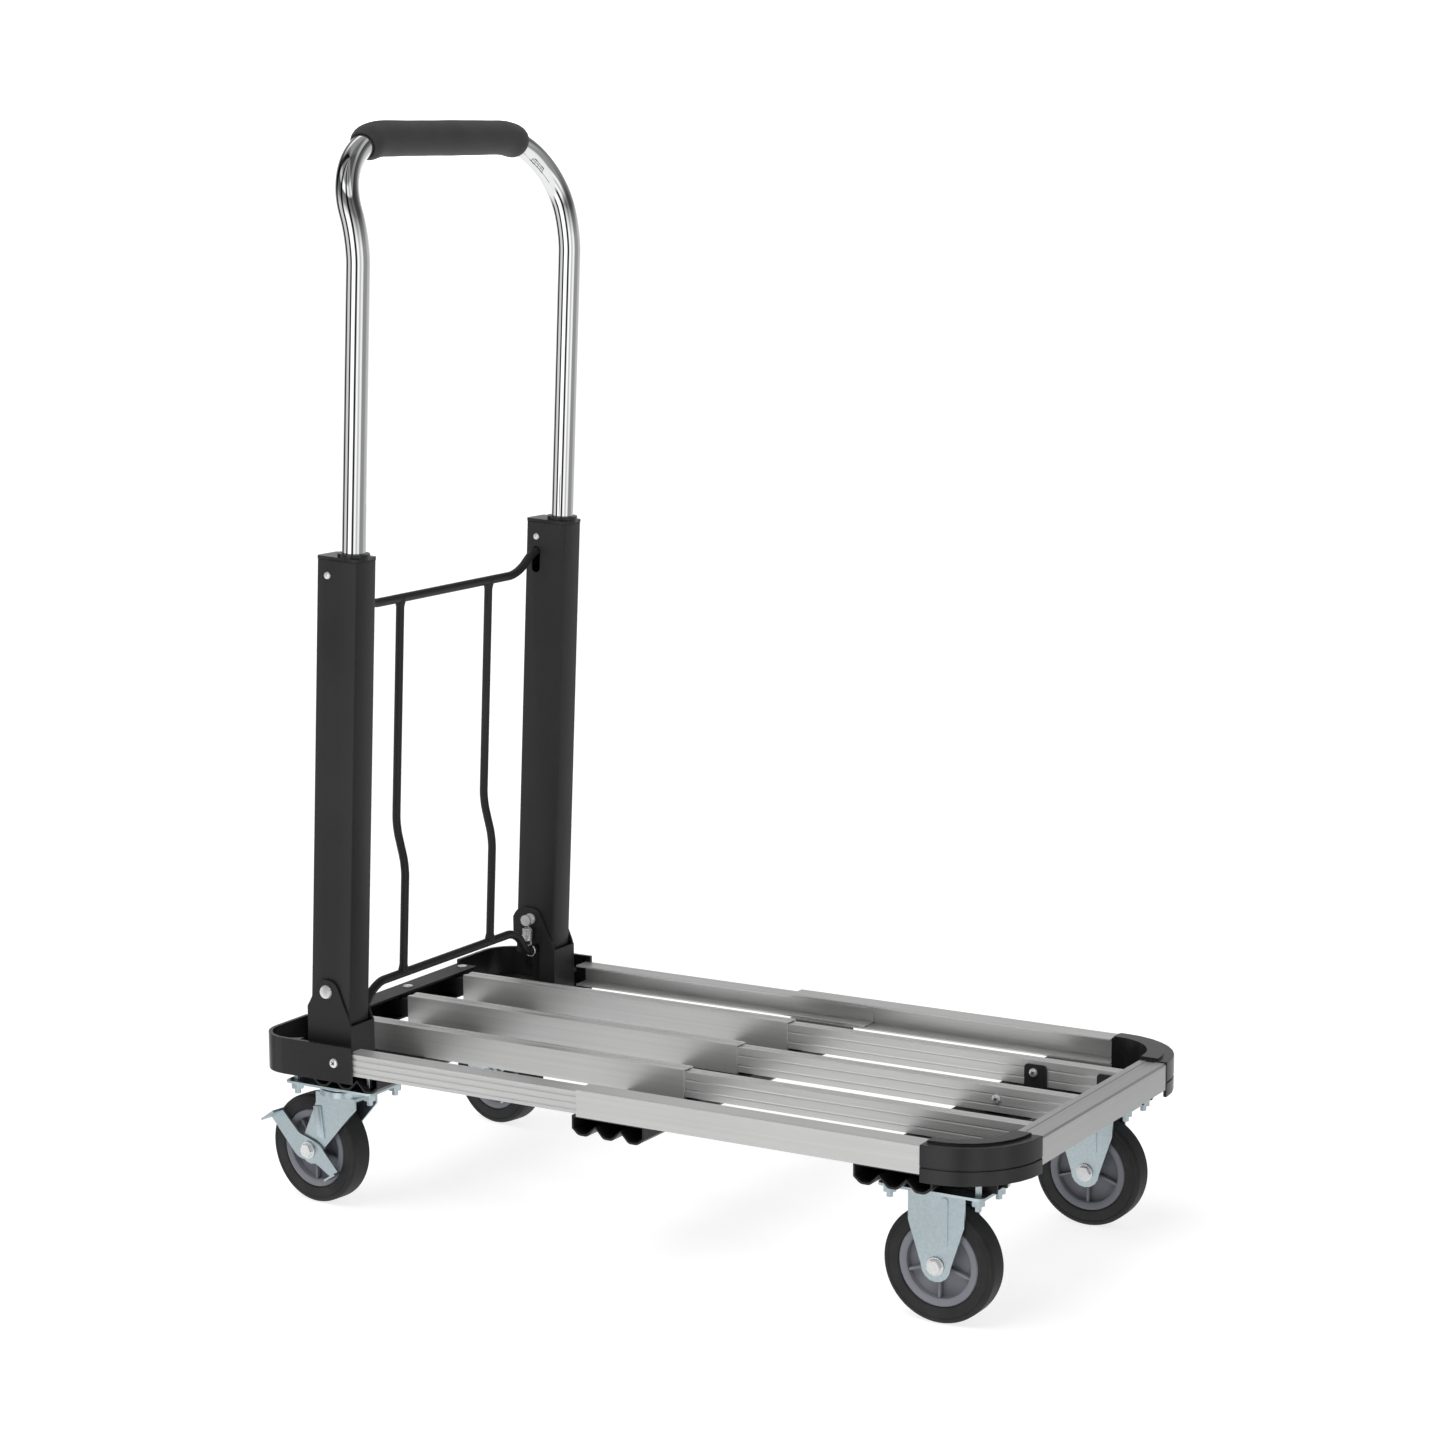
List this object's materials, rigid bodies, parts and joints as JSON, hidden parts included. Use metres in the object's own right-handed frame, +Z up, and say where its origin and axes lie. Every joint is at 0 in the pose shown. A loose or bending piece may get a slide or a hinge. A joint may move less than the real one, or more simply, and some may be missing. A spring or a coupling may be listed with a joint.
{
  "type": "folding luggage cart",
  "caption": "Folding platform cart: telescoping slatted aluminium deck on castors with a fold-down, extending hooped handle and a wire release rack.",
  "frame": {"origin": "on the floor, under the centre of the overall length and width", "axes": "+X towards the front of the platform, away from the handle; +Y to the left; +Z up"},
  "size_m": [0.7642, 0.3988, 0.9674],
  "materials": {
    "aluminium": "mill-finish extrusion with fine drawing lines",
    "black_steel": "satin black powder coat",
    "black_plastic": "semi-gloss moulded black plastic",
    "chrome": "bright polished chrome plate",
    "zinc": "bright zinc-plated pressed steel, slightly blue",
    "bright_steel": "bright plated fasteners and axles",
    "rubber": "solid black rubber",
    "grey_plastic": "blue-grey moulded nylon",
    "foam": "soft closed-cell foam sleeve"
  },
  "bodies": {
    "rear_deck": {"rear_crossbar": "black_steel", "mid_cross_member": "black_steel", "rear_cross_member": "black_steel", "rear_slat_centre": "aluminium", "rear_corner_left": "black_plastic", "rear_corner_right": "black_plastic", "rear_side_rail_left": "aluminium", "rear_side_rail_right": "aluminium", "rear_slat_left": "aluminium", "rear_slat_right": "aluminium", "handle_bracket_left": "black_steel", "handle_bracket_right": "black_steel", "pivot_bolt_left": "bright_steel", "pivot_bolt_right": "bright_steel", "rear_corner_screw_left": "bright_steel", "rear_corner_screw_right": "bright_steel", "swivel_plate_left": "zinc", "swivel_plate_right": "zinc"},
    "front_deck": {"front_crossbar": "aluminium", "front_cross_member": "black_steel", "front_slat_centre": "aluminium", "front_corner_left": "black_plastic", "front_corner_right": "black_plastic", "front_side_rail_left": "aluminium", "front_side_rail_right": "aluminium", "front_slat_left": "aluminium", "front_slat_right": "aluminium", "front_fork_left": "zinc", "front_fork_right": "zinc", "front_axle_left": "bright_steel", "front_axle_right": "bright_steel"},
    "handle": {"stanchion_left": "black_steel", "stanchion_right": "black_steel", "stanchion_cap_left": "black_plastic", "stanchion_cap_right": "black_plastic", "cap_rivet_left": "bright_steel", "cap_rivet_right": "bright_steel", "rack_spring_left": "bright_steel", "rack_spring_right": "bright_steel"},
    "handle_top": {"handle_tube": "chrome", "foam_grip": "foam", "tube_slider_left": "black_plastic", "tube_slider_right": "black_plastic"},
    "rack": {"wire_rack": "black_steel"},
    "front_wheel_left": {"front_tyre_left": "rubber", "front_rim_left": "grey_plastic"},
    "rear_swivel_left": {"swivel_fork_left": "zinc", "rear_axle_left": "bright_steel"},
    "rear_wheel_left": {"rear_tyre_left": "rubber", "rear_rim_left": "grey_plastic"},
    "brake_left": {"brake_pedal_left": "zinc"},
    "front_wheel_right": {"front_tyre_right": "rubber", "front_rim_right": "grey_plastic"},
    "rear_swivel_right": {"swivel_fork_right": "zinc", "rear_axle_right": "bright_steel"},
    "rear_wheel_right": {"rear_tyre_right": "rubber", "rear_rim_right": "grey_plastic"},
    "brake_right": {"brake_pedal_right": "zinc"}
  },
  "joints": [
    {"name": "deck_slide", "type": "slide", "parent": "rear_deck", "child": "front_deck", "axis": [1, 0, 0], "range_m": [-0.19, 0]},
    {"name": "handle_fold", "type": "hinge", "parent": "rear_deck", "child": "handle", "pos_m": [-0.28955, 0, 0.208], "axis": [0, 1, 0], "range_deg": [0, 87.4]},
    {"name": "handle_extend", "type": "slide", "parent": "handle", "child": "handle_top", "axis": [0.0448, 0, 0.999], "range_m": [-0.225, 0]},
    {"name": "rack_press", "type": "slide", "parent": "handle", "child": "rack", "axis": [-0.0448, 0, -0.999], "range_m": [0, 0.016], "stiffness_N_per_m": 700, "springref_m": -0.02, "deforming": ["rack_spring_left", "rack_spring_right"]},
    {"name": "front_spin_left", "type": "hinge", "parent": "front_deck", "child": "front_wheel_left", "pos_m": [0.30405, 0.1458, 0.05], "axis": [0, 1, 0], "continuous": true},
    {"name": "front_spin_right", "type": "hinge", "parent": "front_deck", "child": "front_wheel_right", "pos_m": [0.30405, -0.1458, 0.05], "axis": [0, 1, 0], "continuous": true},
    {"name": "rear_swivel_left", "type": "hinge", "parent": "rear_deck", "child": "rear_swivel_left", "pos_m": [-0.29855, 0.143, 0.11], "axis": [0, 0, 1], "continuous": true},
    {"name": "rear_spin_left", "type": "hinge", "parent": "rear_swivel_left", "child": "rear_wheel_left", "pos_m": [-0.32988, 0.14949, 0.05], "axis": [0.2028, 0.9792, 0], "continuous": true},
    {"name": "brake_press_left", "type": "hinge", "parent": "rear_swivel_left", "child": "brake_left", "pos_m": [-0.32988, 0.14949, 0.05], "axis": [0.2028, 0.9792, 0], "range_deg": [-20, 0]},
    {"name": "rear_swivel_right", "type": "hinge", "parent": "rear_deck", "child": "rear_swivel_right", "pos_m": [-0.29855, -0.143, 0.11], "axis": [0, 0, 1], "continuous": true},
    {"name": "rear_spin_right", "type": "hinge", "parent": "rear_swivel_right", "child": "rear_wheel_right", "pos_m": [-0.33031, -0.1391, 0.05], "axis": [0.1219, 0.9925, 0], "continuous": true},
    {"name": "brake_press_right", "type": "hinge", "parent": "rear_swivel_right", "child": "brake_right", "pos_m": [-0.33031, -0.1391, 0.05], "axis": [0.1219, 0.9925, 0], "range_deg": [-20, 0]}
  ]
}
